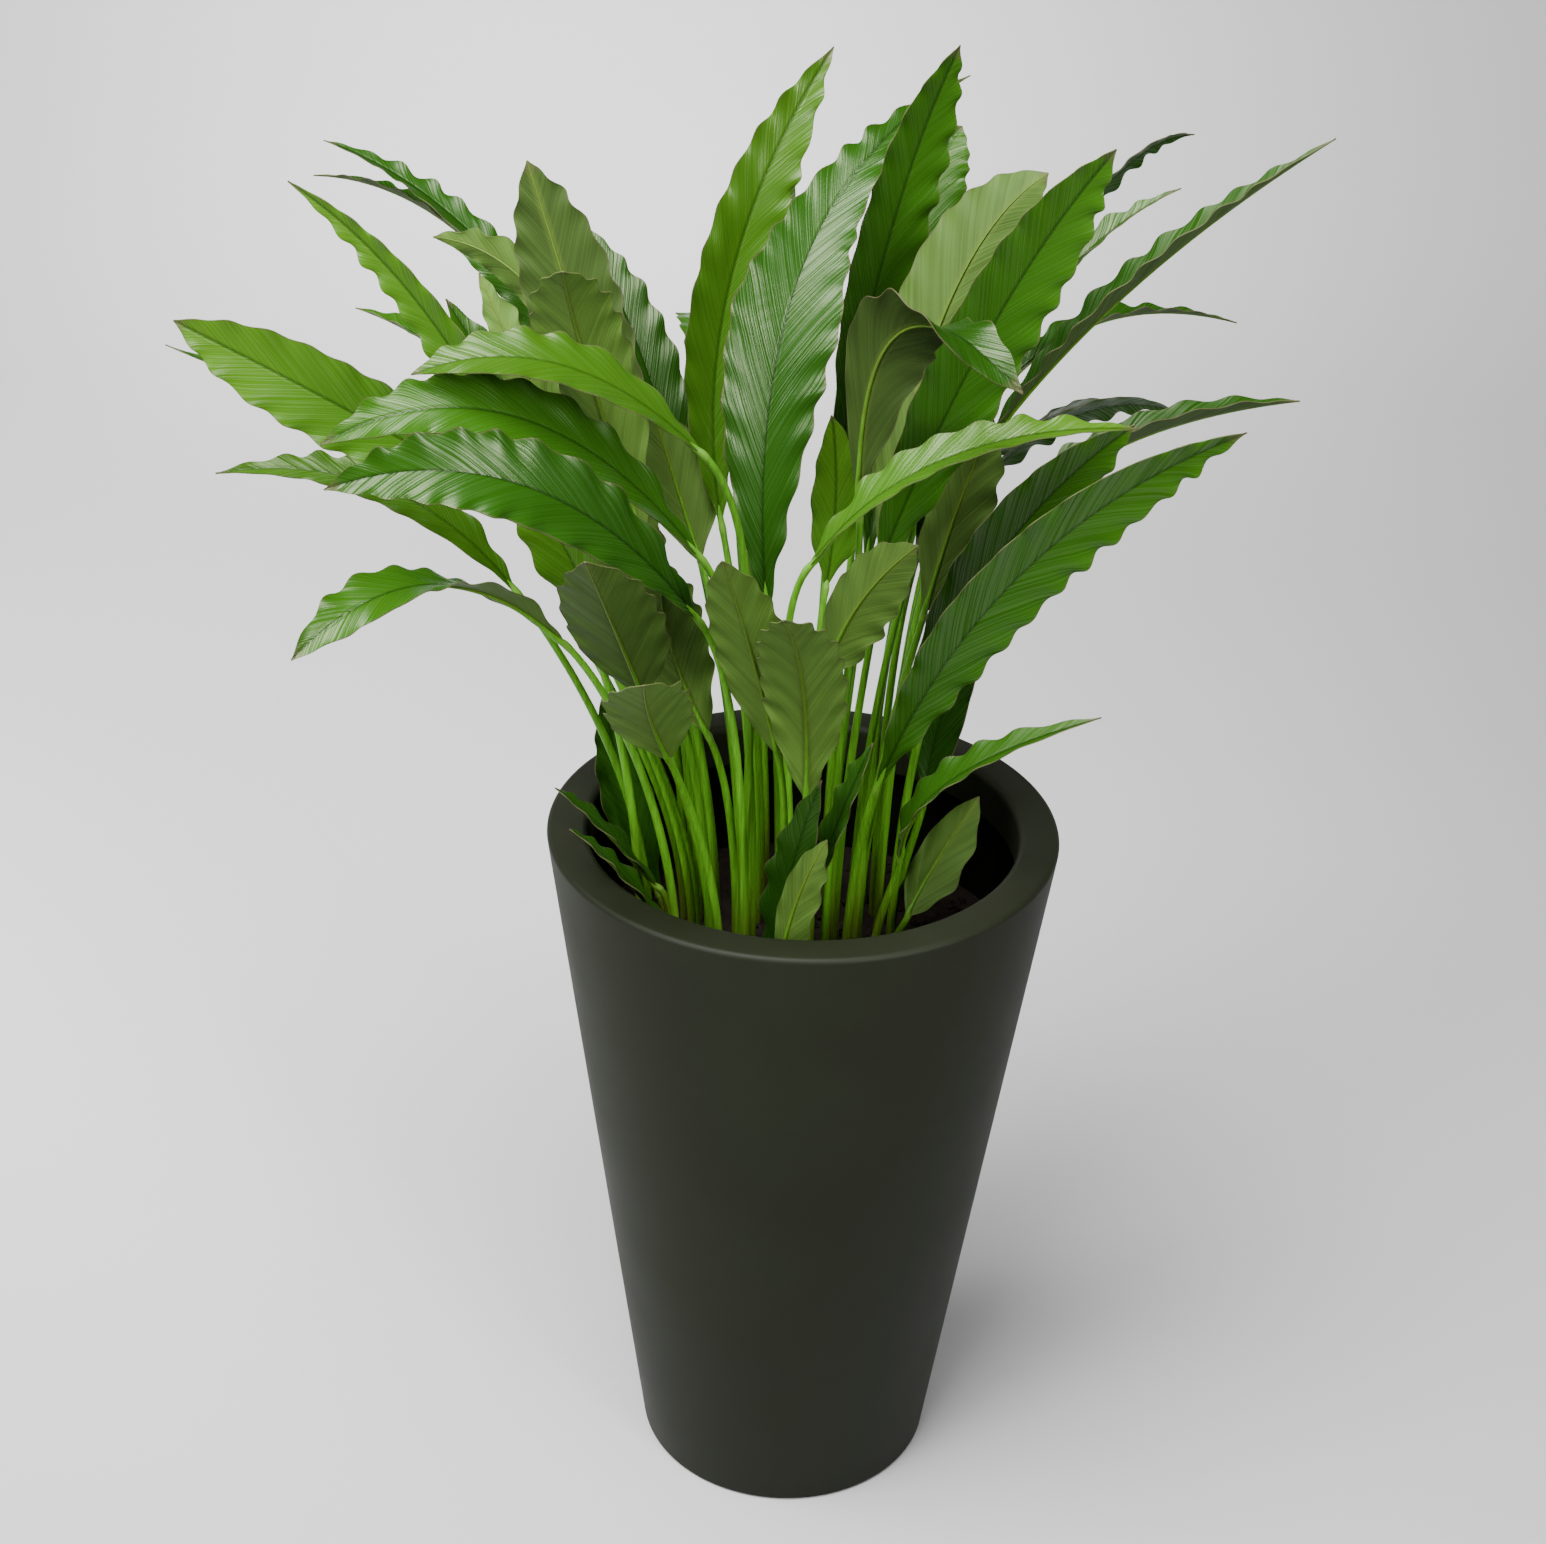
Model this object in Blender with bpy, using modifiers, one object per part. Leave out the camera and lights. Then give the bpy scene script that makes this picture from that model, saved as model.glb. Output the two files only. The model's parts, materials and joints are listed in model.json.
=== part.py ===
"""Potted calathea: a tapered round planter, its potting mix and the leafy stems that grow from it.

Metres, +Z up. The origin is at the middle of the planter's base, on the surface it stands on.
The front of the plant looks along -Y.
"""
import math
import random

import bmesh
import bpy
from mathutils import Matrix, Vector

MM = 0.001
GAP = 0.3 * MM                 # left between pieces that touch

# Planter: a tapered shell with a floor and a wide lip turned in at the rim
PLANTER_HEIGHT = 565 * MM
RIM_RADIUS = 190 * MM
FOOT_RADIUS = 118 * MM
LIP_WIDTH = 30 * MM
LIP_DEPTH = 34 * MM
WALL = 8 * MM
FLOOR = 12 * MM
EDGE_ROUND = 4 * MM
INNER_ROUND = 6 * MM
PLANTER_STEPS = 48

# Potting mix: fills the planter from its floor, a little higher in the middle
SOIL_DEPTH_BELOW_RIM = 115 * MM
SOIL_MOUND = 10 * MM
SOIL_STEPS = 48
ROOT_DEPTH = 55 * MM           # how far a stalk reaches down from where it starts to lean

# Leafy stems: a six-sided stalk whose section spreads out into the blade
STALK_BASE_RADIUS = 3.4 * MM
STALK_TOP_RADIUS = 2.4 * MM
STALK_RINGS = 5
STALK_RISE = 0.45              # how far the stalk climbs straight up, as a share of its span
STALK_RUN_IN = 0.18            # how far it runs in line with the blade before the joint
FOOT_PULL_LOW = 0.95           # a low leaf's stalk stands almost under its joint
FOOT_PULL_HIGH = 0.55          # a high leaf's stalk starts nearer the middle
FOOT_PULL_SPAN = 260 * MM
FOOT_SPACING = 14 * MM
FOOT_REACH = 125 * MM
SPREAD_ROUNDS = 80

RIB_HALF_WIDTH = 1.6 * MM
RIB_HALF_THICKNESS = 1.2 * MM
TIP_RADIUS = 0.5 * MM
WIDEST_AT = 0.45               # share of the blade's length where it is widest
BASE_FULLNESS = 1.10
HALF_WAVE = 18 * MM            # from one crest of the waved margin to the next hollow
WAVE_HEIGHT = 3.2 * MM
WAVE_OUTLINE = 0.04            # how far the outline swells and narrows with the waves
LEAF_SEED = 11

# Greens of the blades, as linear colours
TONES = {"deep": (0.030, 0.085, 0.016), "mid": (0.055, 0.140, 0.026), "light": (0.110, 0.220, 0.045)}

# Each leaf in millimetres and degrees: where its stalk meets the blade, the middle of its rib and its
# tip; the blade's width and how full its tip is; the compass angle from +X and the lift of the way
# its upper face looks, its turn about the rib by the tip, how far its halves fold up; its green
LEAVES = {
    "back_1": ((-65, 55, 775), (-65, 115, 935), (5, 190, 1090), (54, 3.0), (-70, 20, 0, 12), "light"),
    "back_2": ((-55, 85, 780), (-50, 150, 940), (-15, 240, 1055), (50, 2.6), (-100, 30, 0, 12), "light"),
    "back_3": ((-30, -25, 740), (-15, 42, 968), (102, 180, 1075), (76, 0.85), (-80, 20, -60, 12), "deep"),
    "back_4": ((15, 70, 805), (47, 95, 982), (88, 90, 1115), (50, 3), (-65, 25, 0, 12), "mid"),
    "back_5": ((40, 70, 735), (65, 150, 945), (100, 195, 1035), (60, 3.4), (-110, 25, 0, 12), "mid"),
    "back_6": ((50, 20, 760), (85, 40, 945), (150, 55, 1040), (76, 3.0), (70, -15, 0, 12), "mid"),
    "back_7": ((40, -15, 760), (110, -10, 945), (185, -15, 1075), (60, 3.0), (-85, -5, 0, 12), "mid"),
    "back_8": ((70, 30, 755), (145, 85, 925), (250, 120, 1015), (36, 1.6), (-155, 40, 0, 30), "mid"),
    "back_9": ((90, 120, 800), (185, 160, 980), (270, 210, 1030), (24, 1.6), (-35, -20, 0, 12), "deep"),
    "right_1": ((115, 20, 855), (205, 10, 975), (325, -10, 1085), (34, 1.6), (180, 40, 0, 40), "deep"),
    "right_2": ((115, 110, 835), (200, 175, 895), (325, 255, 875), (28, 1.6), (-175, 80, 0, 30), "deep"),
    "right_3": ((105, 85, 805), (175, 155, 830), (230, 240, 810), (26, 1.8), (-40, -30, 0, 12), "mid"),
    "right_4": ((110, 65, 800), (185, 115, 845), (270, 180, 830), (28, 1.8), (-50, -25, 0, 12), "deep"),
    "right_5": ((125, -10, 795), (205, 15, 860), (335, 40, 890), (38, 2.6), (175, 65, 0, 40), "deep"),
    "right_6": ((-5, -60, 795), (80, -80, 885), (210, -65, 905), (36, 2.1), (-145, 55, 0, 22), "light"),
    "right_7": ((70, -35, 685), (135, -40, 815), (210, -45, 900), (54, 2.5), (-85, -5, 0, 12), "mid"),
    "right_8": ((50, -50, 620), (135, -95, 810), (270, -120, 925), (54, 2.6), (-90, -15, 0, 12), "mid"),
    "right_9": ((70, -45, 560), (100, -70, 640), (200, -90, 705), (32, 2.1), (-170, 40, 0, 25), "mid"),
    "right_10": ((80, -25, 500), (100, -5, 535), (130, 10, 585), (44, 3.0), (50, -35, 0, 12), "mid"),
    "right_11": ((90, 10, 590), (100, 25, 645), (130, 35, 735), (46, 2.2), (-130, 20, 0, 12), "deep"),
    "right_12": ((5, -80, 545), (25, -85, 620), (45, -80, 675), (26, 2.2), (-155, 15, 0, 12), "deep"),
    "mid_1": ((30, -50, 830), (48, -80, 970), (125, -135, 952), (60, 3.0), (45, -5, 150, 14), "deep"),
    "mid_2": ((10, 10, 750), (15, 20, 815), (10, 25, 875), (40, 2.2), (-70, 5, 0, 12), "light"),
    "mid_3": ((10, -60, 710), (30, -85, 780), (65, -140, 850), (48, 3.0), (45, 10, 0, 12), "mid"),
    "mid_4": ((80, 0, 735), (100, 0, 820), (120, 0, 885), (46, 3.0), (70, -5, 0, 12), "mid"),
    "front_1": ((0, -80, 625), (-5, -120, 735), (-20, -215, 830), (58, 3.2), (90, 35, 0, 12), "light"),
    "front_2": ((-20, -70, 655), (-40, -100, 750), (-60, -150, 840), (50, 3.2), (90, 25, 0, 12), "light"),
    "front_3": ((-20, -90, 490), (-10, -100, 575), (10, -100, 655), (34, 2.2), (-120, 5, 0, 12), "deep"),
    "front_4": ((-15, -110, 500), (-5, -120, 565), (15, -130, 625), (32, 2.6), (50, 0, 0, 12), "mid"),
    "left_1": ((-220, -10, 825), (-325, -10, 885), (-430, -20, 945), (58, 3.2), (-80, 10, 0, 12), "light"),
    "left_2": ((-220, 70, 805), (-340, 85, 842), (-465, 90, 890), (24, 1.8), (10, 70, 0, 20), "mid"),
    "left_3": ((-210, 20, 735), (-305, 40, 805), (-430, 60, 805), (36, 1.6), (-80, 50, 0, 25), "light"),
    "left_4": ((-170, 30, 715), (-255, 60, 900), (-370, 90, 1010), (32, 2.0), (-105, 0, 0, 12), "light"),
    "left_5": ((-145, 125, 815), (-250, 190, 940), (-375, 260, 995), (32, 2.1), (-35, 55, 0, 20), "deep"),
    "left_6": ((-155, 150, 805), (-260, 215, 933), (-390, 290, 960), (28, 1.6), (-10, 55, 0, 30), "deep"),
    "left_7": ((-140, 65, 815), (-195, 90, 930), (-275, 120, 965), (38, 2.6), (60, 5, 0, 12), "light"),
    "left_8": ((-140, 100, 785), (-195, 125, 900), (-265, 160, 945), (40, 2.1), (-70, 35, 0, 12), "deep"),
    "left_9": ((-125, 25, 790), (-165, 40, 925), (-200, 50, 1040), (68, 3), (85, -5, 0, 12), "deep"),
    "left_10": ((-85, 95, 745), (-125, 150, 860), (-175, 210, 950), (50, 2.6), (-70, 35, 0, 12), "deep"),
    "left_11": ((-115, -5, 780), (-155, -20, 920), (-165, -80, 1005), (62, 3.2), (95, 15, 0, 12), "light"),
    "left_12": ((-130, -35, 790), (-185, -45, 905), (-225, -25, 985), (36, 2.2), (85, 0, 0, 12), "light"),
    "left_13": ((-135, 80, 740), (-205, 100, 830), (-270, 135, 915), (46, 2.2), (-65, 30, 0, 12), "mid"),
    "left_14": ((-160, 120, 770), (-255, 160, 850), (-350, 215, 880), (40, 1.8), (-15, 60, 0, 25), "mid"),
    "left_15": ((-75, -70, 880), (-165, -100, 950), (-258, -120, 948), (46, 2.5), (-35, 55, 0, 12), "light"),
    "left_16": ((-75, -60, 800), (-190, -110, 917), (-315, -135, 905), (52, 2.5), (-45, 48, 0, 12), "mid"),
    "left_17": ((-75, -85, 765), (-180, -155, 888), (-305, -185, 895), (58, 2.6), (-48, 32, 0, 12), "deep"),
    "left_18": ((-150, -30, 735), (-175, -20, 795), (-215, -10, 850), (48, 2.6), (-100, 5, 0, 12), "light"),
    "left_19": ((-135, 10, 695), (-130, 10, 760), (-120, 15, 825), (46, 3), (80, -5, 0, 12), "light"),
    "left_20": ((-70, -40, 655), (-97, -60, 738), (-102, -100, 818), (52, 3), (95, 20, 0, 12), "light"),
    "left_21": ((-165, -95, 750), (-245, -155, 820), (-325, -220, 795), (42, 3.2), (90, 50, -110, 14), "mid"),
    "left_22": ((-115, -60, 695), (-130, -115, 770), (-145, -180, 850), (66, 3.4), (95, 40, 0, 12), "mid"),
    "left_23": ((-95, -105, 670), (-105, -160, 730), (-105, -230, 790), (58, 3.6), (105, 45, 0, 12), "light"),
    "left_24": ((-108, 18, 485), (-135, 30, 570), (-150, 40, 650), (40, 2.2), (-70, 15, 0, 12), "deep"),
    "left_25": ((-105, -20, 515), (-145, -30, 570), (-180, -40, 610), (30, 1.8), (10, 40, 0, 12), "deep"),
    "left_26": ((-88, -68, 500), (-132, -88, 572), (-165, -95, 608), (30, 1), (10, 35, 0, 12), "deep"),
    "left_27": ((-80, 50, 750), (-100, 70, 805), (-120, 85, 860), (50, 2.6), (80, -15, 0, 12), "mid"),
    "rear_1": ((-50, 130, 765), (-75, 235, 865), (-100, 370, 815), (56, 2.6), (-140, 70, 0, 12), "mid"),
    "rear_2": ((35, 130, 770), (65, 230, 860), (110, 350, 820), (54, 2.6), (-40, 60, 0, 12), "deep"),
}


def clear_scene():
    """Take the start-up scene's objects away."""
    for obj in list(bpy.data.objects):
        bpy.data.objects.remove(obj, do_unlink=True)


def new_collection(name):
    collection = bpy.data.collections.new(name)
    bpy.context.scene.collection.children.link(collection)
    return collection


def finish(name, colour, roughness):
    """A plain Principled material in one colour."""
    material = bpy.data.materials.new(name)
    material.use_nodes = True
    shader = material.node_tree.nodes["Principled BSDF"]
    shader.inputs["Base Color"].default_value = (*colour, 1.0)
    shader.inputs["Roughness"].default_value = roughness
    shader.inputs["Metallic"].default_value = 0.0
    return material


def add_object(name, mesh, collection, material=None):
    obj = bpy.data.objects.new(name, mesh)
    collection.objects.link(obj)
    if material:
        mesh.materials.append(material)
    return obj


def turned(name, profile, steps, collection, material):
    """A solid turned about Z from a profile of (radius, height), outer side running down."""
    bm = bmesh.new()
    points = [bm.verts.new((radius, 0.0, height)) for radius, height in profile]
    for above, below in zip(points, points[1:]):
        bm.edges.new((above, below))
    mesh = bpy.data.meshes.new(name)
    bm.to_mesh(mesh)
    bm.free()
    obj = add_object(name, mesh, collection, material)
    screw = obj.modifiers.new("Turn", "SCREW")
    screw.steps = steps
    screw.render_steps = steps
    screw.use_merge_vertices = True
    screw.merge_threshold = 0.01 * MM
    screw.use_smooth_shade = True
    return obj


def quarter_round(centre, radius, start, points=3):
    """Points of a quarter circle in the profile's plane, clockwise from the start angle."""
    turns = [math.radians(start - 90 * i / (points - 1)) for i in range(points)]
    return [(centre[0] + radius * math.cos(a), centre[1] + radius * math.sin(a)) for a in turns]


def outer_radius(height):
    return FOOT_RADIUS + (RIM_RADIUS - FOOT_RADIUS) * height / PLANTER_HEIGHT


def inner_radius(height):
    return outer_radius(height) - WALL


def build_planter(collection):
    """The shell: floor, wall, turned-in lip with rounded edges, and a flat base."""
    lip_inner = RIM_RADIUS - LIP_WIDTH
    lip_under = PLANTER_HEIGHT - LIP_DEPTH
    r = EDGE_ROUND
    profile = [(0.0, FLOOR), (inner_radius(FLOOR), FLOOR), (inner_radius(lip_under), lip_under),
               (lip_inner, lip_under)]
    profile += quarter_round((lip_inner + INNER_ROUND, PLANTER_HEIGHT - INNER_ROUND), INNER_ROUND, 180)
    profile += quarter_round((RIM_RADIUS - r, PLANTER_HEIGHT - r), r, 90)
    profile += quarter_round((outer_radius(0.0) - r, r), r, 0)
    profile.append((0.0, 0.0))
    return turned("planter", profile, PLANTER_STEPS, collection,
                  finish("Planter dark olive", (0.022, 0.024, 0.019), 0.45))


def soil_top():
    return PLANTER_HEIGHT - SOIL_DEPTH_BELOW_RIM


def stalk_start():
    """The height at which the stalks start to lean, just clear of the mound."""
    return soil_top() + 1.2 * SOIL_MOUND


def build_soil(collection, cutters, feet):
    """Potting mix up to its surface, with a plain hole for each stalk."""
    top = soil_top()
    bottom = FLOOR + GAP
    profile = [(0.0, top + SOIL_MOUND), (0.5 * inner_radius(top), top + 0.8 * SOIL_MOUND),
               (inner_radius(top) - GAP, top), (inner_radius(bottom) - GAP, bottom), (0.0, bottom)]
    soil = turned("soil", profile, SOIL_STEPS, collection,
                  finish("Potting mix", (0.016, 0.011, 0.008), 0.95))
    holes = stalk_holes(feet, cutters)
    cut = soil.modifiers.new("Stalk holes", "BOOLEAN")
    cut.operation = "DIFFERENCE"
    cut.object = holes
    return soil


def stalk_holes(feet, cutters):
    """One six-sided cutter for each stalk, turned the same way as the stalk's own section."""
    bm = bmesh.new()
    radius = STALK_BASE_RADIUS + 2 * GAP / math.sqrt(3)
    depth = ROOT_DEPTH + GAP + SOIL_MOUND
    bottom = stalk_start() - ROOT_DEPTH - GAP
    for foot, angle in feet:
        middle = Vector((foot.x, foot.y, bottom + depth / 2))
        place = Matrix.Translation(middle) @ Matrix.Rotation(angle, 4, "Z")
        bmesh.ops.create_cone(bm, cap_ends=True, segments=6, radius1=radius, radius2=radius,
                              depth=depth, matrix=place)
    mesh = bpy.data.meshes.new("stalk_holes")
    bm.to_mesh(mesh)
    bm.free()
    holes = add_object("stalk_holes", mesh, cutters)
    holes.hide_render = True
    holes.display_type = "WIRE"
    return holes


def spread_feet(joints):
    """Where each stalk leaves the soil: pulled in under its joint, then pushed clear of the others."""
    feet = []
    for joint in joints:
        climb = min(1.0, max(0.0, (joint.z - soil_top()) / FOOT_PULL_SPAN))
        pull = FOOT_PULL_LOW + (FOOT_PULL_HIGH - FOOT_PULL_LOW) * climb
        feet.append(Vector((joint.x * pull, joint.y * pull, 0.0)))
    for _ in range(SPREAD_ROUNDS):
        for i, one in enumerate(feet):
            for other in feet[i + 1:]:
                apart = one - other
                short = FOOT_SPACING - apart.length
                if short > 0:
                    push = apart.normalized() * short / 2
                    one += push
                    other -= push
            if one.length > FOOT_REACH:
                one *= FOOT_REACH / one.length
    return feet


def bezier(points, t):
    a, b, c, d = points
    u = 1 - t
    place = a * u ** 3 + b * 3 * u * u * t + c * 3 * u * t * t + d * t ** 3
    heading = (b - a) * u * u + (c - b) * 2 * u * t + (d - c) * t * t
    return place, heading.normalized()


def rib_point(joint, middle, tip, s):
    """A point and heading on the rib, a smooth curve through the joint, the middle and the tip."""
    place = joint * (1 - s) * (1 - 2 * s) + middle * 4 * s * (1 - s) + tip * s * (2 * s - 1)
    heading = joint * (4 * s - 3) + middle * (4 - 8 * s) + tip * (4 * s - 1)
    return place, heading.normalized()


def half_width(s, fullness):
    """Outline of a lance-shaped blade: round at the base, and straight or full towards its sharp tip."""
    if s < WIDEST_AT:
        return (1 - (1 - s / WIDEST_AT) ** 2) ** BASE_FULLNESS
    return 1 - ((s - WIDEST_AT) / (1 - WIDEST_AT)) ** fullness


def upright_to(facing, heading):
    return (facing - heading * facing.dot(heading)).normalized()


def blade_up(stance, heading, s):
    """Which way the upper face looks at a share of the blade's length."""
    angle, lift, turn = stance[:3]
    up = upright_to(compass(angle, lift), heading)
    return Matrix.Rotation(math.radians(turn) * s * s, 3, heading) @ up


def section(place, heading, up, reach, lifts, rib_width, rib_thickness):
    """Six corners: left margin, upper rib left and right, right margin, lower rib right and left."""
    side = heading.cross(up)
    left, right = reach
    return [place - side * left + up * lifts[0],
            place - side * rib_width + up * rib_thickness,
            place + side * rib_width + up * rib_thickness,
            place + side * right + up * lifts[1],
            place + side * rib_width - up * rib_thickness,
            place - side * rib_width - up * rib_thickness]


def stalk_section(place, heading, up, radius):
    return section(place, heading, up, (radius, radius), (0.0, 0.0), radius / 2,
                   radius * math.sqrt(3) / 2)


def blade_sections(joint, middle, tip, size, stance, draw):
    """Sections of the waved blade from just past the joint to the tip."""
    width, fullness = size[0] * MM, size[1]
    fold = math.radians(stance[3])
    length = (middle - joint).length + (tip - middle).length
    count = max(6, round(length / HALF_WAVE))
    left_starts, right_starts = draw.choice((1, -1)), draw.choice((1, -1))
    rings = []
    for k in range(1, count):
        s = k / count
        place, heading = rib_point(joint, middle, tip, s)
        half = half_width(s, fullness) * width / 2
        crest = 1 if k % 2 else -1
        fade = min(1.0, half_width(s, fullness) * 1.6)
        waves = [crest * left_starts * fade, crest * right_starts * fade]
        reach = [half * math.cos(fold) * (1 + WAVE_OUTLINE * wave) for wave in waves]
        lifts = [half * math.sin(fold) + WAVE_HEIGHT * wave for wave in waves]
        slim = 1 - 0.6 * s
        rings.append(section(place, heading, blade_up(stance, heading, s), reach, lifts,
                             RIB_HALF_WIDTH * slim, RIB_HALF_THICKNESS * slim))
    place, heading = rib_point(joint, middle, tip, 1.0)
    rings.append(stalk_section(place, heading, blade_up(stance, heading, 1.0), TIP_RADIUS))
    return rings


def stalk_sections(foot, joint, heading, up):
    """Sections of the stalk from its root up to the joint, and the turn of its lowest section."""
    ground = Vector((foot.x, foot.y, stalk_start()))
    span = (joint - ground).length
    curve = (ground, ground + Vector((0, 0, STALK_RISE * span)),
             joint - heading * STALK_RUN_IN * span, joint)
    rings = []
    for k in range(STALK_RINGS, -1, -1):
        t = k / STALK_RINGS
        place, along = bezier(curve, t)
        up = upright_to(up, along)
        radius = STALK_BASE_RADIUS + (STALK_TOP_RADIUS - STALK_BASE_RADIUS) * t
        rings.insert(0, stalk_section(place, along, up, radius))
    root = ground - Vector((0, 0, ROOT_DEPTH))
    rings.insert(0, stalk_section(root, Vector((0, 0, 1)), up, STALK_BASE_RADIUS))
    first = rings[0][0] - root
    return rings, math.atan2(first.y, first.x) + math.pi / 2


def skin(rings):
    """One closed mesh over a row of six-cornered sections.

    The faces beside a margin are split from the margin outwards on both sides of the blade,
    so that the upper and lower faces run alike and never cross.
    """
    bm = bmesh.new()
    rows = [[bm.verts.new(corner) for corner in ring] for ring in rings]
    for here, there in zip(rows, rows[1:]):
        for i, j in ((0, 1), (0, 5), (3, 2), (3, 4)):
            order = (here[i], there[i], there[j]), (here[i], there[j], here[j])
            for face in order:
                bm.faces.new(face)
        for i, j in ((1, 2), (5, 4)):
            bm.faces.new((here[i], here[j], there[j]))
            bm.faces.new((here[i], there[j], there[i]))
    bm.faces.new(rows[0])
    bm.faces.new(rows[-1])
    bmesh.ops.recalc_face_normals(bm, faces=bm.faces)
    mesh = bpy.data.meshes.new("leaf")
    bm.to_mesh(mesh)
    bm.free()
    mesh.shade_smooth()
    return mesh


def compass(angle, lift):
    """A unit vector from a compass angle and a lift, both in degrees."""
    a, b = math.radians(angle), math.radians(lift)
    return Vector((math.cos(a) * math.cos(b), math.sin(a) * math.cos(b), math.sin(b)))


def build_leaves(collection):
    """Every leafy stem, and where each one's hole in the soil goes."""
    draw = random.Random(LEAF_SEED)
    joints = [Vector(leaf[0]) * MM for leaf in LEAVES.values()]
    holes = []
    for (name, leaf), foot in zip(LEAVES.items(), spread_feet(joints)):
        joint, middle, tip = (Vector(point) * MM for point in leaf[:3])
        heading = rib_point(joint, middle, tip, 0.0)[1]
        up = blade_up(leaf[4], heading, 0.0)
        stalk, turn = stalk_sections(foot, joint, heading, up)
        blade = blade_sections(joint, middle, tip, leaf[3], leaf[4], draw)
        mesh = skin(stalk + blade)
        add_object("leaf_" + name, mesh, collection, finish("Leaf " + name, TONES[leaf[5]], 0.35))
        holes.append((foot, turn))
    return holes


def main():
    clear_scene()
    collection = new_collection("Potted calathea")
    cutters = new_collection("Cutters")
    build_planter(collection)
    holes = build_leaves(collection)
    build_soil(collection, cutters, holes)


main()
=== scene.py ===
"""Looks of the potted calathea: a satin planter, potting mix and waved, glossy leaves on tall stalks.

It is laid out as a Blender add-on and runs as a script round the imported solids, in their frame.
"""

import bpy
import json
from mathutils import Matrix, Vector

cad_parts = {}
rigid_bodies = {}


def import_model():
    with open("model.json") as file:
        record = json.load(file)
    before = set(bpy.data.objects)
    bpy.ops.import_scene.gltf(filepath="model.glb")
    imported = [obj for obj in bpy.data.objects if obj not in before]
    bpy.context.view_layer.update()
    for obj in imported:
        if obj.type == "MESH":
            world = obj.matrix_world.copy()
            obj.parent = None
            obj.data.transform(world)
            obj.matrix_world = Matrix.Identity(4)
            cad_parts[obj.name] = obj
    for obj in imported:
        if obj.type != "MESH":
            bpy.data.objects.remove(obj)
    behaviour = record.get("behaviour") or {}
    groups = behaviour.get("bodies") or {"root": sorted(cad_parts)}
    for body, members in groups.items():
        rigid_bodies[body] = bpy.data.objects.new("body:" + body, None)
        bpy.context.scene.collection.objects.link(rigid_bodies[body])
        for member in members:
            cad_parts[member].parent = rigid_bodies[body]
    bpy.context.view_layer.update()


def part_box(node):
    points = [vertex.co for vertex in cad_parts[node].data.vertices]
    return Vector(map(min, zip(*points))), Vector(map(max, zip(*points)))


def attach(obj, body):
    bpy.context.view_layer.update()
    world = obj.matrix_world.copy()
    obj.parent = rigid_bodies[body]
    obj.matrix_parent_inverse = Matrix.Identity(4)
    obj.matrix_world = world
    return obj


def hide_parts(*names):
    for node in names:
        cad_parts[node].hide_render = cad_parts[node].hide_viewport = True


for leftover in list(bpy.data.objects):
    bpy.data.objects.remove(leftover, do_unlink=True)

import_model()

import json
import math
import random

import bmesh
from bpy.props import FloatProperty, FloatVectorProperty, IntProperty, PointerProperty
from mathutils import Matrix, Vector, noise

bl_info = {
    "name": "Potted Calathea",
    "version": (1, 0, 0),
    "blender": (4, 5, 0),
    "location": "View3D > Sidebar > Calathea",
    "description": "Builds a tall lance-leaved calathea in a tapered planter",
    "category": "Add Mesh",
}

MM = 0.001
BODY = "root"
PLANTER_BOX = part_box("planter")

# Planter and potting mix: sizes that the solids also have
FLOOR_THICKNESS = 12 * MM
EDGE_ROUND = 4 * MM
INNER_ROUND = 6 * MM
SOIL_DEPTH_BELOW_RIM = 115 * MM
SOIL_MOUND = 10 * MM
SOIL_GAP = 0.3 * MM
TURNS = 144

# Stalks: the rule that their solids follow
STALK_BASE_RADIUS = 3.4 * MM
STALK_TOP_RADIUS = 2.4 * MM
STALK_RISE = 0.45
STALK_RUN_IN = 0.18
ROOT_DEPTH = 55 * MM
FOOT_PULL_LOW = 0.95
FOOT_PULL_HIGH = 0.55
FOOT_PULL_SPAN = 260 * MM
FOOT_SPACING = 14 * MM
FOOT_REACH = 125 * MM
SPREAD_ROUNDS = 80

# Blades: the rule that their solids follow
WIDEST_AT = 0.45
BASE_FULLNESS = 1.10

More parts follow.
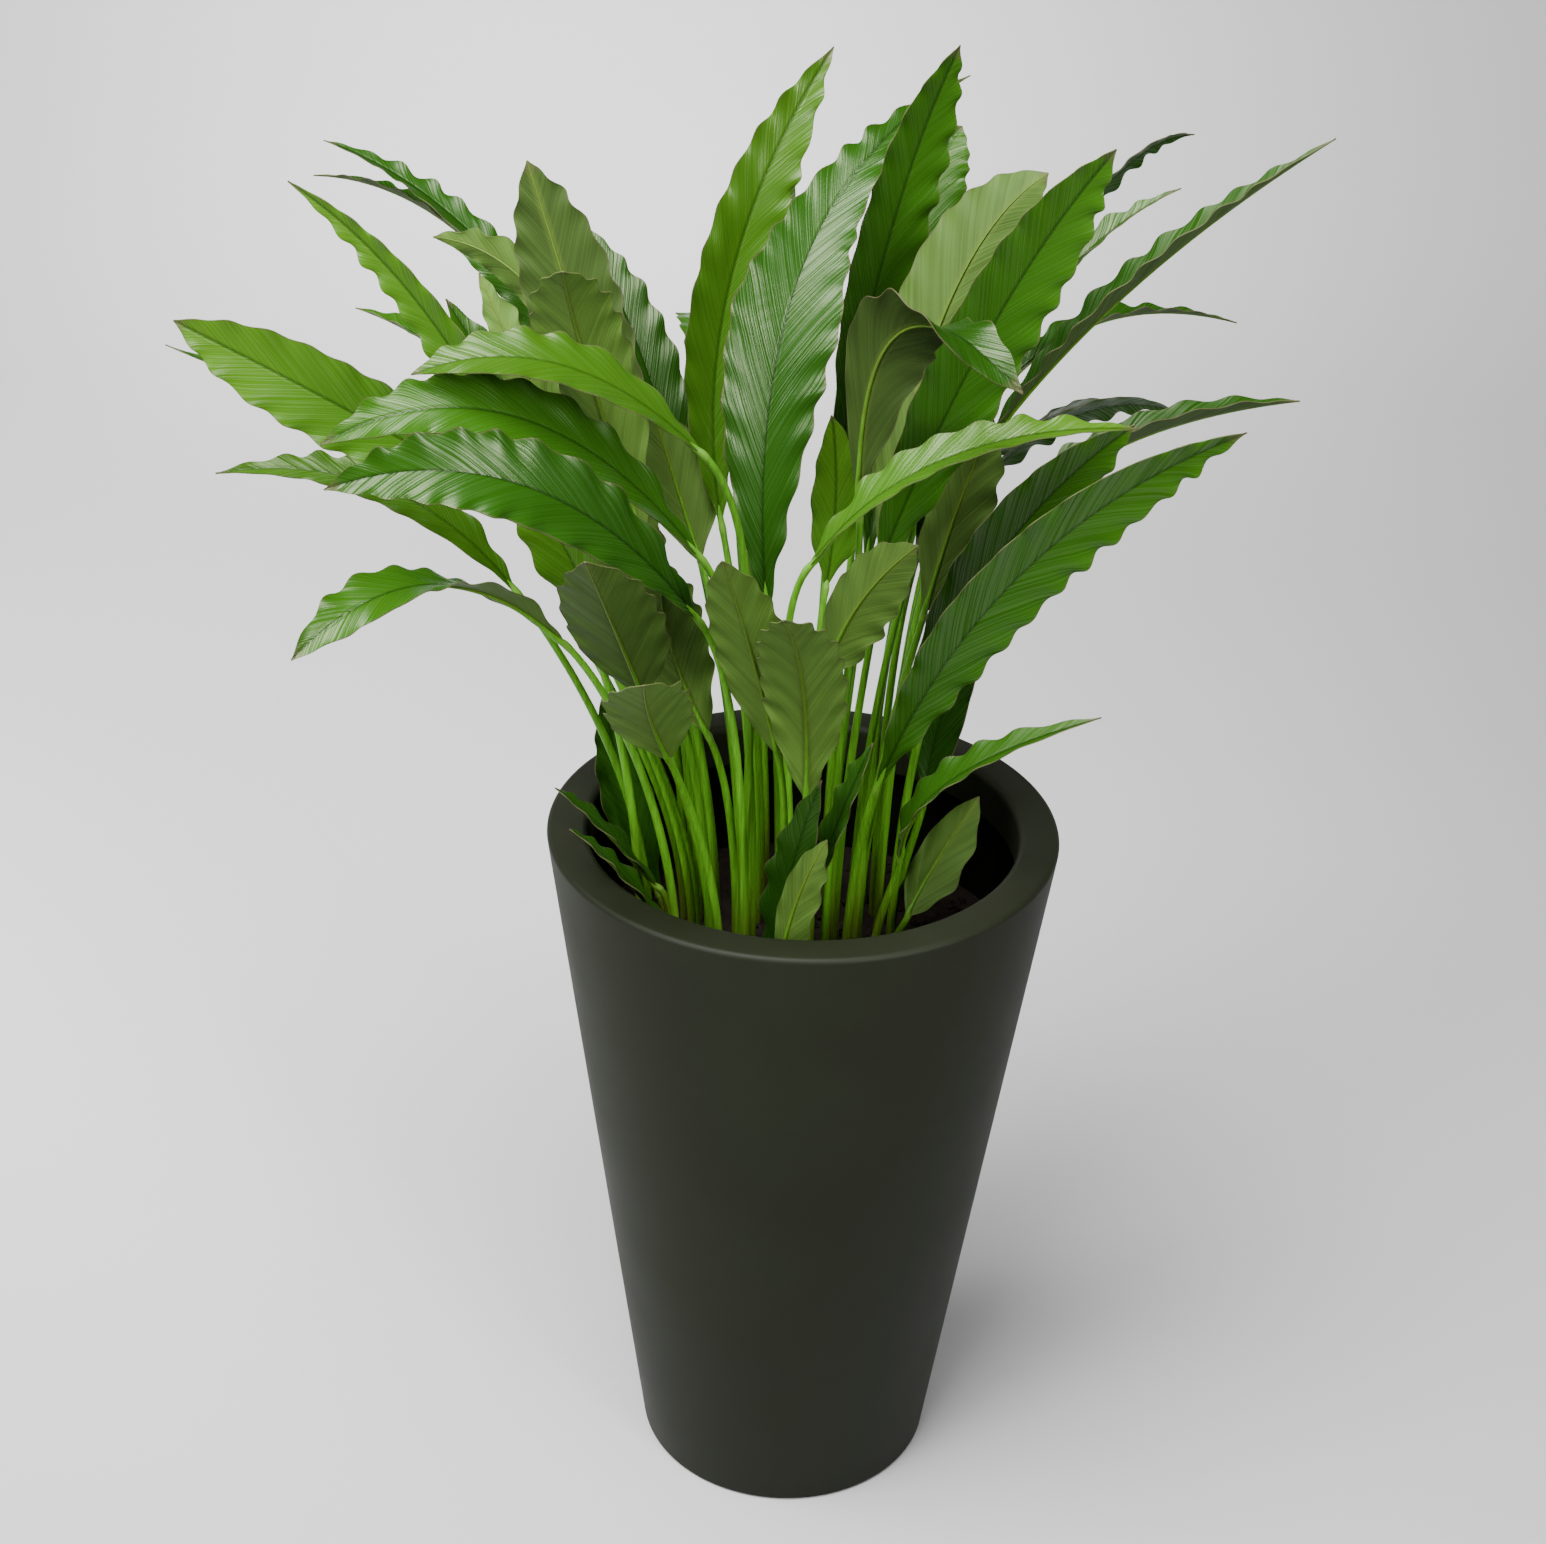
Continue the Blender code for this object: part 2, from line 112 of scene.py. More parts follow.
# Each leaf in millimetres and degrees: where its stalk meets the blade, the middle of its rib and its
# tip; the blade's width and how full its tip is; the compass angle from +X and the lift of the way
# its upper face looks, its turn about the rib by the tip, how far its halves fold up; its green
LEAVES = {
    "back_1": ((-65, 55, 775), (-65, 115, 935), (5, 190, 1090), (54, 3.0), (-70, 20, 0, 12), "light"),
    "back_2": ((-55, 85, 780), (-50, 150, 940), (-15, 240, 1055), (50, 2.6), (-100, 30, 0, 12), "light"),
    "back_3": ((-30, -25, 740), (-15, 42, 968), (102, 180, 1075), (76, 0.85), (-80, 20, -60, 12), "deep"),
    "back_4": ((15, 70, 805), (47, 95, 982), (88, 90, 1115), (50, 3), (-65, 25, 0, 12), "mid"),
    "back_5": ((40, 70, 735), (65, 150, 945), (100, 195, 1035), (60, 3.4), (-110, 25, 0, 12), "mid"),
    "back_6": ((50, 20, 760), (85, 40, 945), (150, 55, 1040), (76, 3.0), (70, -15, 0, 12), "mid"),
    "back_7": ((40, -15, 760), (110, -10, 945), (185, -15, 1075), (60, 3.0), (-85, -5, 0, 12), "mid"),
    "back_8": ((70, 30, 755), (145, 85, 925), (250, 120, 1015), (36, 1.6), (-155, 40, 0, 30), "mid"),
    "back_9": ((90, 120, 800), (185, 160, 980), (270, 210, 1030), (24, 1.6), (-35, -20, 0, 12), "deep"),
    "right_1": ((115, 20, 855), (205, 10, 975), (325, -10, 1085), (34, 1.6), (180, 40, 0, 40), "deep"),
    "right_2": ((115, 110, 835), (200, 175, 895), (325, 255, 875), (28, 1.6), (-175, 80, 0, 30), "deep"),
    "right_3": ((105, 85, 805), (175, 155, 830), (230, 240, 810), (26, 1.8), (-40, -30, 0, 12), "mid"),
    "right_4": ((110, 65, 800), (185, 115, 845), (270, 180, 830), (28, 1.8), (-50, -25, 0, 12), "deep"),
    "right_5": ((125, -10, 795), (205, 15, 860), (335, 40, 890), (38, 2.6), (175, 65, 0, 40), "deep"),
    "right_6": ((-5, -60, 795), (80, -80, 885), (210, -65, 905), (36, 2.1), (-145, 55, 0, 22), "light"),
    "right_7": ((70, -35, 685), (135, -40, 815), (210, -45, 900), (54, 2.5), (-85, -5, 0, 12), "mid"),
    "right_8": ((50, -50, 620), (135, -95, 810), (270, -120, 925), (54, 2.6), (-90, -15, 0, 12), "mid"),
    "right_9": ((70, -45, 560), (100, -70, 640), (200, -90, 705), (32, 2.1), (-170, 40, 0, 25), "mid"),
    "right_10": ((80, -25, 500), (100, -5, 535), (130, 10, 585), (44, 3.0), (50, -35, 0, 12), "mid"),
    "right_11": ((90, 10, 590), (100, 25, 645), (130, 35, 735), (46, 2.2), (-130, 20, 0, 12), "deep"),
    "right_12": ((5, -80, 545), (25, -85, 620), (45, -80, 675), (26, 2.2), (-155, 15, 0, 12), "deep"),
    "mid_1": ((30, -50, 830), (48, -80, 970), (125, -135, 952), (60, 3.0), (45, -5, 150, 14), "deep"),
    "mid_2": ((10, 10, 750), (15, 20, 815), (10, 25, 875), (40, 2.2), (-70, 5, 0, 12), "light"),
    "mid_3": ((10, -60, 710), (30, -85, 780), (65, -140, 850), (48, 3.0), (45, 10, 0, 12), "mid"),
    "mid_4": ((80, 0, 735), (100, 0, 820), (120, 0, 885), (46, 3.0), (70, -5, 0, 12), "mid"),
    "front_1": ((0, -80, 625), (-5, -120, 735), (-20, -215, 830), (58, 3.2), (90, 35, 0, 12), "light"),
    "front_2": ((-20, -70, 655), (-40, -100, 750), (-60, -150, 840), (50, 3.2), (90, 25, 0, 12), "light"),
    "front_3": ((-20, -90, 490), (-10, -100, 575), (10, -100, 655), (34, 2.2), (-120, 5, 0, 12), "deep"),
    "front_4": ((-15, -110, 500), (-5, -120, 565), (15, -130, 625), (32, 2.6), (50, 0, 0, 12), "mid"),
    "left_1": ((-220, -10, 825), (-325, -10, 885), (-430, -20, 945), (58, 3.2), (-80, 10, 0, 12), "light"),
    "left_2": ((-220, 70, 805), (-340, 85, 842), (-465, 90, 890), (24, 1.8), (10, 70, 0, 20), "mid"),
    "left_3": ((-210, 20, 735), (-305, 40, 805), (-430, 60, 805), (36, 1.6), (-80, 50, 0, 25), "light"),
    "left_4": ((-170, 30, 715), (-255, 60, 900), (-370, 90, 1010), (32, 2.0), (-105, 0, 0, 12), "light"),
    "left_5": ((-145, 125, 815), (-250, 190, 940), (-375, 260, 995), (32, 2.1), (-35, 55, 0, 20), "deep"),
    "left_6": ((-155, 150, 805), (-260, 215, 933), (-390, 290, 960), (28, 1.6), (-10, 55, 0, 30), "deep"),
    "left_7": ((-140, 65, 815), (-195, 90, 930), (-275, 120, 965), (38, 2.6), (60, 5, 0, 12), "light"),
    "left_8": ((-140, 100, 785), (-195, 125, 900), (-265, 160, 945), (40, 2.1), (-70, 35, 0, 12), "deep"),
    "left_9": ((-125, 25, 790), (-165, 40, 925), (-200, 50, 1040), (68, 3), (85, -5, 0, 12), "deep"),
    "left_10": ((-85, 95, 745), (-125, 150, 860), (-175, 210, 950), (50, 2.6), (-70, 35, 0, 12), "deep"),
    "left_11": ((-115, -5, 780), (-155, -20, 920), (-165, -80, 1005), (62, 3.2), (95, 15, 0, 12), "light"),
    "left_12": ((-130, -35, 790), (-185, -45, 905), (-225, -25, 985), (36, 2.2), (85, 0, 0, 12), "light"),
    "left_13": ((-135, 80, 740), (-205, 100, 830), (-270, 135, 915), (46, 2.2), (-65, 30, 0, 12), "mid"),
    "left_14": ((-160, 120, 770), (-255, 160, 850), (-350, 215, 880), (40, 1.8), (-15, 60, 0, 25), "mid"),
    "left_15": ((-75, -70, 880), (-165, -100, 950), (-258, -120, 948), (46, 2.5), (-35, 55, 0, 12), "light"),
    "left_16": ((-75, -60, 800), (-190, -110, 917), (-315, -135, 905), (52, 2.5), (-45, 48, 0, 12), "mid"),
    "left_17": ((-75, -85, 765), (-180, -155, 888), (-305, -185, 895), (58, 2.6), (-48, 32, 0, 12), "deep"),
    "left_18": ((-150, -30, 735), (-175, -20, 795), (-215, -10, 850), (48, 2.6), (-100, 5, 0, 12), "light"),
    "left_19": ((-135, 10, 695), (-130, 10, 760), (-120, 15, 825), (46, 3), (80, -5, 0, 12), "light"),
    "left_20": ((-70, -40, 655), (-97, -60, 738), (-102, -100, 818), (52, 3), (95, 20, 0, 12), "light"),
    "left_21": ((-165, -95, 750), (-245, -155, 820), (-325, -220, 795), (42, 3.2), (90, 50, -110, 14), "mid"),
    "left_22": ((-115, -60, 695), (-130, -115, 770), (-145, -180, 850), (66, 3.4), (95, 40, 0, 12), "mid"),
    "left_23": ((-95, -105, 670), (-105, -160, 730), (-105, -230, 790), (58, 3.6), (105, 45, 0, 12), "light"),
    "left_24": ((-108, 18, 485), (-135, 30, 570), (-150, 40, 650), (40, 2.2), (-70, 15, 0, 12), "deep"),
    "left_25": ((-105, -20, 515), (-145, -30, 570), (-180, -40, 610), (30, 1.8), (10, 40, 0, 12), "deep"),
    "left_26": ((-88, -68, 500), (-132, -88, 572), (-165, -95, 608), (30, 1), (10, 35, 0, 12), "deep"),
    "left_27": ((-80, 50, 750), (-100, 70, 805), (-120, 85, 860), (50, 2.6), (80, -15, 0, 12), "mid"),
    "rear_1": ((-50, 130, 765), (-75, 235, 865), (-100, 370, 815), (56, 2.6), (-140, 70, 0, 12), "mid"),
    "rear_2": ((35, 130, 770), (65, 230, 860), (110, 350, 820), (54, 2.6), (-40, 60, 0, 12), "deep"),
}

# Finer shape that only the looks have
BLADE_COLUMNS = 22
BLADE_STEP = 2.4 * MM
WAVE_SPACING = 30 * MM
WAVE_OUTLINE = 1.7 * MM
WAVE_SLANT = 0.6               # a wave runs this far towards the tip for each unit it goes outwards
VEIN_SLANT = 2.0               # and a vein this far
PLEAT_SPACING = 11 * MM
STALK_STEPS = 26
RIB_STEPS = 40
STALK_SIDES = 12
RIB_RADIUS = 1.5 * MM
RIB_TIP_RADIUS = 0.35 * MM
COLLAR_LENGTH = 7 * MM

# How light the undersides of each green are: partly each green's own tone and partly painted shade, the deep level
# standing for undersides in shade among other leaves
UNDERSIDE_LEVELS = {"deep": 0.55, "mid": 1.0, "light": 1.3}

# Camera: place, lens and roll that bring the planter's outline where the photograph has it
CAMERA_TARGET = Vector((-23.6, 0.0, 606.3)) * MM
CAMERA_DISTANCE = 1838 * MM
CAMERA_ELEVATION = 28.506
CAMERA_ROLL = 1.633
FOCAL_LENGTH_PIXELS = 2500
IMAGE_WIDTH = 1546
SENSOR_WIDTH = 36.0


class CalatheaPlanterSettings(bpy.types.PropertyGroup):
    """The planter and the potting mix in it."""

    height: FloatProperty(
        name="Height", description="Height of the planter", unit="LENGTH",
        default=PLANTER_BOX[1].z, min=0.1, max=2.0)
    rim_radius: FloatProperty(
        name="Rim radius", description="Outer radius at the rim", unit="LENGTH",
        default=PLANTER_BOX[1].x, min=0.05, max=1.0)
    foot_radius: FloatProperty(
        name="Foot radius", description="Outer radius at the base", unit="LENGTH",
        default=118 * MM, min=0.05, max=1.0)
    lip_width: FloatProperty(
        name="Lip width", description="Width of the lip turned in at the rim", unit="LENGTH",
        default=30 * MM, min=0.01, max=0.1)
    lip_depth: FloatProperty(
        name="Lip depth", description="Depth of the lip turned in at the rim", unit="LENGTH",
        default=34 * MM, min=0.01, max=0.1)
    wall: FloatProperty(
        name="Wall", description="Thickness of the planter's wall", unit="LENGTH",
        default=8 * MM, min=0.002, max=0.05)
    colour: FloatVectorProperty(
        name="Planter colour", description="Satin dark olive of the planter", subtype="COLOR",
        default=(0.0054, 0.0068, 0.0027), min=0.0, max=1.0)
    roughness: FloatProperty(
        name="Roughness", description="How matt the planter is", subtype="FACTOR",
        default=0.55, min=0.0, max=1.0)
    # dark brown of the mix, darkened further as painted shade deep inside the planter
    soil_colour_and_shade: FloatVectorProperty(
        name="Potting mix", description="Dark brown of the potting mix", subtype="COLOR",
        default=(0.0050, 0.0034, 0.0024), min=0.0, max=1.0)
    crumbs: IntProperty(
        name="Crumbs", description="Number of loose crumbs on the potting mix",
        default=420, min=0, max=1500)


class CalatheaLeafSettings(bpy.types.PropertyGroup):
    """The leafy stems."""

    deep: FloatVectorProperty(
        name="Deep green", description="Upper face of the darkest leaves", subtype="COLOR",
        default=(0.0060, 0.028, 0.0014), min=0.0, max=1.0)
    mid: FloatVectorProperty(
        name="Mid green", description="Upper face of most leaves", subtype="COLOR",
        default=(0.0097, 0.040, 0.0017), min=0.0, max=1.0)
    light: FloatVectorProperty(
        name="Light green", description="Upper face of the youngest leaves", subtype="COLOR",
        default=(0.0200, 0.062, 0.0030), min=0.0, max=1.0)
    under: FloatVectorProperty(
        name="Underside", description="Matt olive of the undersides", subtype="COLOR",
        default=(0.0350, 0.071, 0.0100), min=0.0, max=1.0)
    stalk: FloatVectorProperty(
        name="Stalk", description="Bright green of the stalks", subtype="COLOR",
        default=(0.052, 0.162, 0.0080), min=0.0, max=1.0)
    stalk_foot: FloatVectorProperty(
        name="Stalk foot", description="Reddish brown of the stalks where they leave the soil",
        subtype="COLOR", default=(0.045, 0.022, 0.010), min=0.0, max=1.0)
    thickness: FloatProperty(
        name="Blade thickness", description="Thickness of a blade away from its rib", unit="LENGTH",
        default=0.7 * MM, min=0.3 * MM, max=2 * MM, precision=4)
    wave: FloatProperty(
        name="Wave height", description="How far the margins swing up and down", unit="LENGTH",
        default=2.4 * MM, min=0.0, max=8 * MM, precision=4)
    pleat: FloatProperty(
        name="Pleat height", description="Height of the shallow pleats between veins", unit="LENGTH",
        default=0.16 * MM, min=0.0, max=1 * MM, precision=5)
    gloss: FloatProperty(
        name="Upper face roughness", description="How dull the upper faces are", subtype="FACTOR",
        default=0.24, min=0.0, max=1.0)


class CalatheaStageSettings(bpy.types.PropertyGroup):
    """Floor, lights and surroundings."""

    floor: FloatVectorProperty(
        name="Floor", description="Pale grey of the floor and backdrop", subtype="COLOR",
        default=(0.40, 0.40, 0.40), min=0.0, max=1.0)
    key: FloatProperty(
        name="Key light", description="Soft light high over the plant's left", unit="POWER",
        default=300.0, min=0.0)
    side: FloatProperty(
        name="Side light", description="Narrow soft light on the leaves from the right", unit="POWER",
        default=12, min=0.0)
    front: FloatProperty(
        name="Front light", description="Narrow soft light on the leaves from the left", unit="POWER",
        default=12, min=0.0)
    left: FloatProperty(
        name="Left light", description="Soft light on the floor at the left", unit="POWER",
        default=34, min=0.0)
    backdrop: FloatProperty(
        name="Backdrop light", description="Soft light close to the backdrop", unit="POWER",
        default=95.0, min=0.0)
    sky: FloatProperty(
        name="Surroundings", description="Strength of the even light from above",
        default=0.05, min=0.0)


def planter_settings():
    return bpy.context.scene.calathea_planter


def leaf_settings():
    return bpy.context.scene.calathea_leaves


def stage_settings():
    return bpy.context.scene.calathea_stage


def smooth_mesh(bm, name, materials, sharp_angle=40.0):
    """Write a bmesh to a smooth-shaded mesh with its materials."""
    mesh = bpy.data.meshes.new(name)
    bm.to_mesh(mesh)
    bm.free()
    for material in materials:
        mesh.materials.append(material)
    mesh.shade_smooth()
    mesh.set_sharp_from_angle(angle=math.radians(sharp_angle))
    return mesh


def link_object(name, mesh):
    obj = bpy.data.objects.new(name, mesh)
    bpy.context.scene.collection.objects.link(obj)
    return obj


def add_piece(name, mesh, node):
    """Link a finished mesh as the piece that stands for a node."""
    obj = link_object(name, mesh)
    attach(obj, BODY)
    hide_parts(node)
    return obj


# Material building blocks

def new_material(name):
    material = bpy.data.materials.new(name)
    material.use_nodes = True
    return material, material.node_tree, material.node_tree.nodes["Principled BSDF"]


def put(tree, socket, value):
    """Join an output to a socket, or set a plain value on it."""
    if isinstance(value, bpy.types.NodeSocket):
        tree.links.new(value, socket)
    elif socket.type == "RGBA":
        socket.default_value = (*value[:3], 1.0)
    else:
        socket.default_value = value


def calculate(tree, operation, *values):
    node = tree.nodes.new("ShaderNodeMath")
    node.operation = operation
    for socket, value in zip(node.inputs, values):
        put(tree, socket, value)
    return node.outputs[0]


def attribute(tree, name):
    node = tree.nodes.new("ShaderNodeAttribute")
    node.attribute_name = name
    return node.outputs["Fac"]


def object_place(tree):
    return tree.nodes.new("ShaderNodeTexCoord").outputs["Object"]


def remap(tree, value, low, high, new_low=0.0, new_high=1.0):
    """Map a value from one range to another and hold it there."""
    node = tree.nodes.new("ShaderNodeMapRange")
    for socket, item in zip(node.inputs, (value, low, high, new_low, new_high)):
        put(tree, socket, item)
    return node.outputs[0]


def mix_colours(tree, share, one, other, way="MIX"):
    node = tree.nodes.new("ShaderNodeMix")
    node.data_type = "RGBA"
    node.blend_type = way
    put(tree, node.inputs[0], share)
    put(tree, node.inputs[6], one)
    put(tree, node.inputs[7], other)
    return node.outputs[2]


def join_xyz(tree, x, y, z):
    node = tree.nodes.new("ShaderNodeCombineXYZ")
    for socket, value in zip(node.inputs, (x, y, z)):
        put(tree, socket, value)
    return node.outputs[0]


def split_xyz(tree, place):
    node = tree.nodes.new("ShaderNodeSeparateXYZ")
    put(tree, node.inputs[0], place)
    return node.outputs


def grain(tree, place, scale, detail=2.0, roughness=0.5):
    node = tree.nodes.new("ShaderNodeTexNoise")
    put(tree, node.inputs["Vector"], place)
    node.inputs["Scale"].default_value = scale
    node.inputs["Detail"].default_value = detail
    node.inputs["Roughness"].default_value = roughness
    return node.outputs["Fac"]


def relief(tree, height, distance, strength):
    node = tree.nodes.new("ShaderNodeBump")
    node.inputs["Distance"].default_value = distance
    node.inputs["Strength"].default_value = strength
    put(tree, node.inputs["Height"], height)
    return node.outputs["Normal"]


def tinted(colour, *factors):
    """A colour with each channel scaled and held to 1."""
    if len(factors) == 1:
        factors = factors * 3
    return [min(1.0, channel * factor) for channel, factor in zip(colour, factors)]


def vary_brightness(tree, colour, low, high):
    """Each leaf gets its own brightness from its shade."""
    level = remap(tree, attribute(tree, "shade"), 0.0, 1.0, low, high)
    return mix_colours(tree, 1.0, colour, join_xyz(tree, level, level, level), "MULTIPLY")


# Finishes

def planter_finish(options):
    """Satin moulded shell: even colour, faint clouding and a fine grain."""
    material, tree, shader = new_material("Planter satin")
    place = object_place(tree)
    cloud = grain(tree, place, 8.0, 3.0)
    fine = grain(tree, place, 900.0)
    put(tree, shader.inputs["Base Color"],
        mix_colours(tree, remap(tree, cloud, 0.35, 0.65), options.colour, tinted(options.colour, 1.25)))
    put(tree, shader.inputs["Roughness"],
        remap(tree, cloud, 0.3, 0.7, options.roughness - 0.04, options.roughness + 0.05))
    shader.inputs["Specular IOR Level"].default_value = 0.12
    put(tree, shader.inputs["Normal"], relief(tree, fine, 0.12 * MM, 0.3))
    return material


def inner_wall_painted_shade(options):
    """Rough inside of the shell, darkened almost to black as painted shade."""
    material, tree, shader = new_material("Planter inside")
    rough = grain(tree, object_place(tree), 160.0, 3.0)
    # painted shade: the planter's colour cut to a tenth to three tenths inside the shell
    put(tree, shader.inputs["Base Color"],
        mix_colours(tree, rough, tinted(options.colour, 0.1), tinted(options.colour, 0.3)))
    shader.inputs["Roughness"].default_value = 0.95
    shader.inputs["Specular IOR Level"].default_value = 0.05
    put(tree, shader.inputs["Normal"], relief(tree, rough, 0.4 * MM, 0.3))
    return material


def soil_finish(options):
    """Crumbly mix with a few lighter fibres; its very dark brown is partly its own colour and partly painted shade.
    """
    material, tree, shader = new_material("Potting mix")
    place = object_place(tree)
    lumps = grain(tree, place, 130.0, 5.0, 0.65)
    fibres = grain(tree, place, 420.0, 3.0, 0.6)
    # the base brown is partly painted shade inside the planter
    base = mix_colours(tree, remap(tree, lumps, 0.35, 0.7), options.soil_colour_and_shade,
                       tinted(options.soil_colour_and_shade, 2.6))
    put(tree, shader.inputs["Base Color"],
        mix_colours(tree, remap(tree, fibres, 0.68, 0.74), base, (0.020, 0.013, 0.007)))
    shader.inputs["Roughness"].default_value = 0.95
    shader.inputs["Specular IOR Level"].default_value = 0.1
    put(tree, shader.inputs["Normal"], relief(tree, lumps, 1.2 * MM, 0.8))
    return material


def veins(tree, per_metre, stretch):
    """Streaks that leave the rib at a slant and run forwards to the margin."""
    across = attribute(tree, "across")
    out = calculate(tree, "ABSOLUTE", across)
    run = calculate(tree, "SUBTRACT", attribute(tree, "along"),
                    calculate(tree, "MULTIPLY", out, VEIN_SLANT))
    own = calculate(tree, "MULTIPLY_ADD", attribute(tree, "shade"), 37.0,
                    calculate(tree, "SIGN", across))
    place = join_xyz(tree, calculate(tree, "MULTIPLY", run, per_metre),
                     calculate(tree, "MULTIPLY", out, stretch), own)
    return grain(tree, place, 1.0, 2.0, 0.55)


def dried_outline(tree, face):
    """Lay a thin brownish line along the margin and over the very tip."""
    margin = remap(tree, attribute(tree, "edge"), 0.955, 0.995, 0.0, 0.6)
    tip = remap(tree, attribute(tree, "share"), 0.955, 0.995, 0.0, 0.75)
    return mix_colours(tree, calculate(tree, "MAXIMUM", margin, tip), face, (0.045, 0.036, 0.018))


def upper_face_finish(name, colour, options):
    """Glossy upper face: fine slanting veins, a sunk rib with painted shade along its groove, a paler tip and a thin
    dark margin.
    """
    material, tree, shader = new_material(name)
    fine = veins(tree, 480.0, 14.0)
    broad = veins(tree, 110.0, 7.0)
    share = attribute(tree, "share")
    shade = attribute(tree, "shade")
    streaks = calculate(tree, "MULTIPLY_ADD", fine, 0.7, calculate(tree, "MULTIPLY", broad, 0.3))
    face = mix_colours(tree, remap(tree, streaks, 0.36, 0.66), tinted(colour, 0.90),
                       tinted(colour, 1.15, 1.10, 1.15))
    tipward = calculate(tree, "MULTIPLY", remap(tree, share, 0.45, 1.0),
                        remap(tree, shade, 0.0, 1.0, 0.2, 0.65))
    face = mix_colours(tree, tipward, face, tinted(colour, 1.55, 1.22, 1.15))
    face = vary_brightness(tree, face, 0.8, 1.2)
    out = calculate(tree, "ABSOLUTE", attribute(tree, "across"))
    # painted shade: the face darkens along the rib for the shade in its sunk groove
    face = mix_colours(tree, remap(tree, out, 0.5 * MM, 1.5 * MM, 0.75, 0.0), face, tinted(colour, 0.42))
    put(tree, shader.inputs["Base Color"], dried_outline(tree, face))
    put(tree, shader.inputs["Roughness"],
        remap(tree, fine, 0.3, 0.7, options.gloss - 0.02, options.gloss + 0.10))
    put(tree, shader.inputs["Specular IOR Level"], remap(tree, fine, 0.38, 0.62, 0.02, 0.36))
    shader.inputs["Specular Tint"].default_value = (0.85, 1.0, 0.65, 1.0)
    sunk_rib = remap(tree, out, 0.0, 2.2 * MM, -1.6, 0.0)
    height = calculate(tree, "ADD", calculate(tree, "MULTIPLY_ADD", broad, 0.7, fine), sunk_rib)
    put(tree, shader.inputs["Normal"], relief(tree, height, 0.5 * MM, 0.45))
    return material


def underside_finish(name, colour):
    """Matt olive underside with raised veins and a yellowish line beside the rib."""
    material, tree, shader = new_material(name)
    fine = veins(tree, 330.0, 12.0)
    broad = veins(tree, 85.0, 6.0)
    streaks = calculate(tree, "MULTIPLY_ADD", fine, 0.5, calculate(tree, "MULTIPLY", broad, 0.5))
    face = mix_colours(tree, remap(tree, streaks, 0.36, 0.66), tinted(colour, 0.75),
                       tinted(colour, 1.22))
    face = vary_brightness(tree, face, 0.8, 1.2)
    out = calculate(tree, "ABSOLUTE", attribute(tree, "across"))
    face = mix_colours(tree, remap(tree, out, 1.0 * MM, 4.0 * MM, 0.3, 0.0), face, (0.07, 0.10, 0.016))
    put(tree, shader.inputs["Base Color"], dried_outline(tree, face))
    shader.inputs["Roughness"].default_value = 0.60
    shader.inputs["Specular IOR Level"].default_value = 0.10
    height = calculate(tree, "MULTIPLY_ADD", broad, 1.2, fine)
    put(tree, shader.inputs["Normal"], relief(tree, height, 0.5 * MM, 0.7))
    return material


def stalk_finish(options, soil_height):
    """Smooth stalk: bright green, faintly ribbed, paler at the collar, reddish brown at the foot."""
    material, tree, shader = new_material("Stalk")
    x, y, z = split_xyz(tree, object_place(tree))
    ribs = grain(tree, join_xyz(tree, calculate(tree, "MULTIPLY", x, 600.0),
                                calculate(tree, "MULTIPLY", y, 600.0),
                                calculate(tree, "MULTIPLY", z, 12.0)), 1.0)
    green = options.stalk
    face = mix_colours(tree, remap(tree, ribs, 0.3, 0.7), tinted(green, 0.72), tinted(green, 1.2))
    face = vary_brightness(tree, face, 0.7, 1.15)
    own_height = calculate(tree, "MULTIPLY_ADD", attribute(tree, "shade"), -70 * MM, z)
    low = remap(tree, own_height, soil_height - 60 * MM, soil_height + 45 * MM, 0.9, 0.0)
    face = mix_colours(tree, low, face, options.stalk_foot)
    along = attribute(tree, "along")
    collar = remap(tree, calculate(tree, "ABSOLUTE", along), 0.3 * COLLAR_LENGTH, COLLAR_LENGTH, 0.6, 0.0)
    face = mix_colours(tree, collar, face, tinted(green, 1.5, 1.05, 2.5))
    on_blade = remap(tree, along, 5 * MM, 80 * MM, 0.0, 0.7)
    face = mix_colours(tree, on_blade, face, tinted(options.under, 1.3, 1.0, 0.9))
    put(tree, shader.inputs["Base Color"], face)
    shader.inputs["Roughness"].default_value = 0.38
    shader.inputs["Specular IOR Level"].default_value = 0.12
    put(tree, shader.inputs["Normal"], relief(tree, ribs, 0.3 * MM, 0.4))
    return material


def floor_finish(colour):
    """Matt pale paper with the faintest unevenness."""
    material, tree, shader = new_material("Pale floor")
    soft = grain(tree, object_place(tree), 1.5)
    put(tree, shader.inputs["Base Color"], mix_colours(tree, soft, tinted(colour, 0.985), tinted(colour, 1.015)))
    shader.inputs["Roughness"].default_value = 0.85
    return material


# Planter and potting mix

def outer_radius(height):
    options = planter_settings()
    return options.foot_radius + (options.rim_radius - options.foot_radius) * height / options.height


def inner_radius(height):
    return outer_radius(height) - planter_settings().wall


def soil_top():
    return planter_settings().height - SOIL_DEPTH_BELOW_RIM


def quarter_round(centre, radius, start, points=7):
    """Points of a quarter circle in the profile's plane, clockwise from the start angle."""
    turns = [math.radians(start - 90 * i / (points - 1)) for i in range(points)]
    return [(centre[0] + radius * math.cos(a), centre[1] + radius * math.sin(a)) for a in turns]


